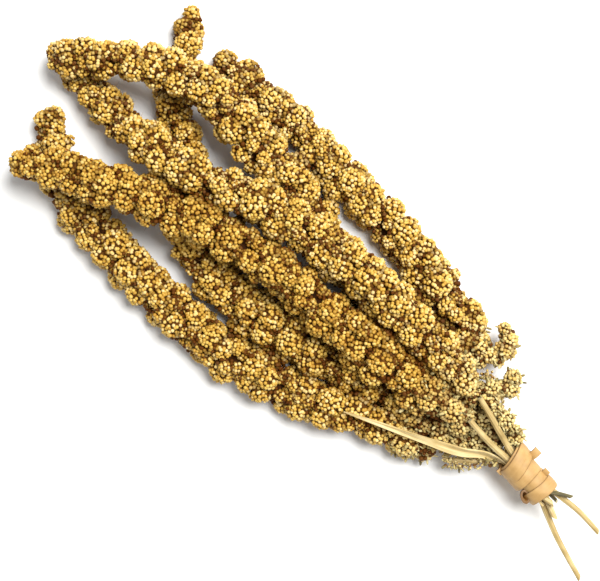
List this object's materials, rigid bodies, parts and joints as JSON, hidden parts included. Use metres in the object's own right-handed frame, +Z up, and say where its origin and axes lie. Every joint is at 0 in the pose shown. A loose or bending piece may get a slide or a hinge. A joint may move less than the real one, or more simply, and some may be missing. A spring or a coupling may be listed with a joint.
{
  "type": "tied bunch of foxtail millet seed heads",
  "caption": "Dried foxtail millet seed heads lying as a tied bunch: long lobed tan heads, straw stems, a leaf blade and a flat tan band round the stems.",
  "frame": {"origin": "centre of the bunch's box, on the surface that it lies on", "axes": "+X along the bunch toward the cut stem ends, +Z up from the surface"},
  "size_m": [0.3188, 0.1125, 0.0381],
  "materials": {
    "millet_seed": "matte dry seed",
    "straw": "satin dry straw",
    "tie_band": "matte flat band"
  },
  "bodies": {
    "root": {"upper_head": "millet_seed", "middle_head": "millet_seed", "right_head": "millet_seed", "crossing_head": "millet_seed", "left_head": "millet_seed", "lower_head": "millet_seed", "upper_stem": "straw", "middle_stem": "straw", "right_stem": "straw", "crossing_stem": "straw", "left_stem": "straw", "lower_stem": "straw", "leaf_blade": "straw", "tie": "tie_band"}
  },
  "joints": []
}
